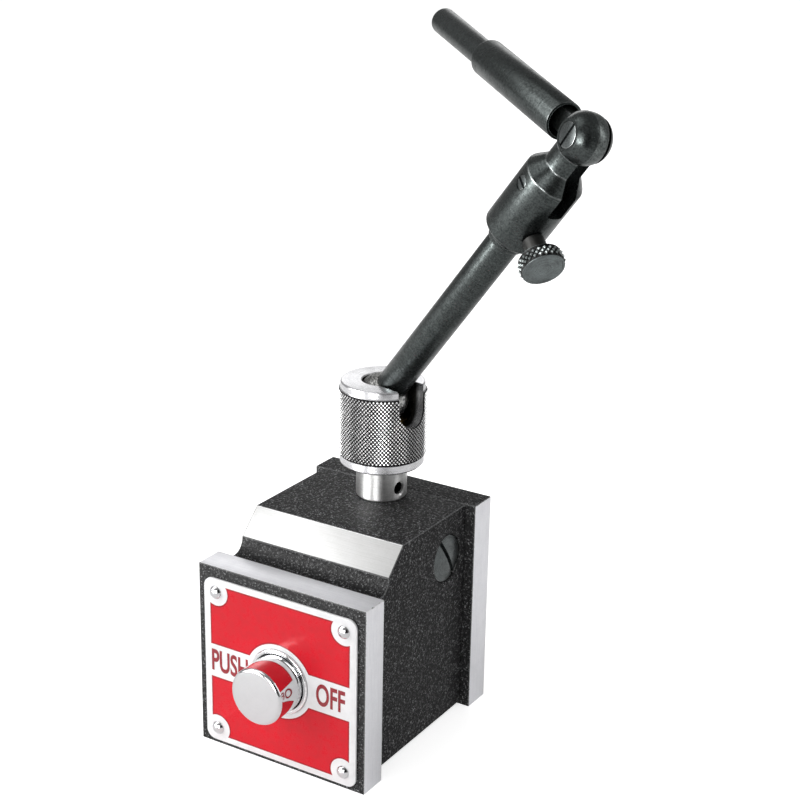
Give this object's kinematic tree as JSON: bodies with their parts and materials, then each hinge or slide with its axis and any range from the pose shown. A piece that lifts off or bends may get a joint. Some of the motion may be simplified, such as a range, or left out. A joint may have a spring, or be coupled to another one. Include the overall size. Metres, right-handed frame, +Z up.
{
  "type": "magnetic base with indicator holding arm",
  "caption": "Switchable magnetic base with push button, knurled socket nut, ball-jointed post, swivel head with thumb screw, and a folding arm that ends in a round indicator stem",
  "frame": {"origin": "middle of the front pole's foot, on the surface the base stands on", "axes": "+Z up, -Y to the front with the push button and name plate, +X to the right as seen from the front"},
  "size_m": [0.0862, 0.0811, 0.1729],
  "materials": {
    "wrinkle_paint": "black wrinkle paint, fine grain, low sheen",
    "ground_steel": "bright surface-ground steel with fine straight grinding lines, black wrinkle paint on the outer faces",
    "plate_enamel": "etched plate with red enamel fields, white border, white band with dark red lettering",
    "chrome": "bright chrome plate",
    "satin_steel": "satin silver, fine diamond knurl on the nut, polished rims",
    "ball_steel": "rough turned silver steel with dark specks",
    "drive_screws": "small bright domed heads",
    "black_oxide": "black oxide over turned steel, satin, worn bright at edges",
    "stem_oxide": "black oxide, smooth, greyer than the sleeve",
    "blued_steel": "dark blued steel, turned",
    "shoe_steel": "plain machined steel, hidden inside",
    "brass": "plain turned brass",
    "magnet_alloy": "dull grey cast magnet alloy"
  },
  "bodies": {
    "base": {"housing": "wrinkle_paint", "front_pole": "ground_steel", "rear_pole": "ground_steel", "name_plate": "plate_enamel", "front_bush": "chrome", "rear_bush": "chrome", "guide_tube": "brass", "side_plug": "blued_steel", "stud": "satin_steel", "ball_seat": "brass", "drive_screw_1": "drive_screws", "drive_screw_2": "drive_screws", "drive_screw_3": "drive_screws", "drive_screw_4": "drive_screws", "front_pole_screw_1": "blued_steel", "front_pole_screw_2": "blued_steel", "front_pole_screw_3": "blued_steel", "front_pole_screw_4": "blued_steel", "rear_pole_screw_1": "blued_steel", "rear_pole_screw_2": "blued_steel", "rear_pole_screw_3": "blued_steel", "rear_pole_screw_4": "blued_steel"},
    "magnet_unit": {"front_button": "chrome", "rear_button": "chrome", "plunger_shaft": "shoe_steel", "front_shoe": "shoe_steel", "magnet": "magnet_alloy", "rear_shoe": "shoe_steel"},
    "nut": {"socket_nut": "satin_steel"},
    "post": {"post_ball": "ball_steel", "post_rod": "black_oxide"},
    "head": {"swivel_head": "black_oxide", "pivot_screw": "blued_steel", "grub_screw": "blued_steel", "clamp_pad": "brass"},
    "thumb": {"thumb_screw": "black_oxide"},
    "arm": {"tongue": "black_oxide", "sleeve": "black_oxide", "stem": "stem_oxide"}
  },
  "joints": [
    {"name": "button_slide", "type": "slide", "parent": "base", "child": "magnet_unit", "axis": [0, 1, 0], "range_m": [0, 0.008]},
    {"name": "nut_turn", "type": "hinge", "parent": "base", "child": "nut", "pos_m": [0, 0.0396, 0.0814], "axis": [0, 0, 1], "continuous": true},
    {"name": "post_tilt", "type": "hinge", "parent": "nut", "child": "post", "pos_m": [0, 0.0396, 0.0814], "axis": [0.2071, 0.9783, 0], "range_deg": [-49, 51.4]},
    {"name": "head_turn", "type": "hinge", "parent": "post", "child": "head", "pos_m": [0.05662, 0.02762, 0.15401], "axis": [0.6098, -0.1291, 0.782], "continuous": true},
    {"name": "knuckle_tilt", "type": "hinge", "parent": "head", "child": "arm", "pos_m": [0.05662, 0.02762, 0.15401], "axis": [-0.483, -0.8428, 0.2375], "range_deg": [-236, 10.5]},
    {"name": "thumb_turn", "type": "hinge", "parent": "head", "child": "thumb", "pos_m": [0.04129, 0.03086, 0.13434], "axis": [0.6284, -0.5225, -0.5763], "range_deg": [0, 540]}
  ]
}
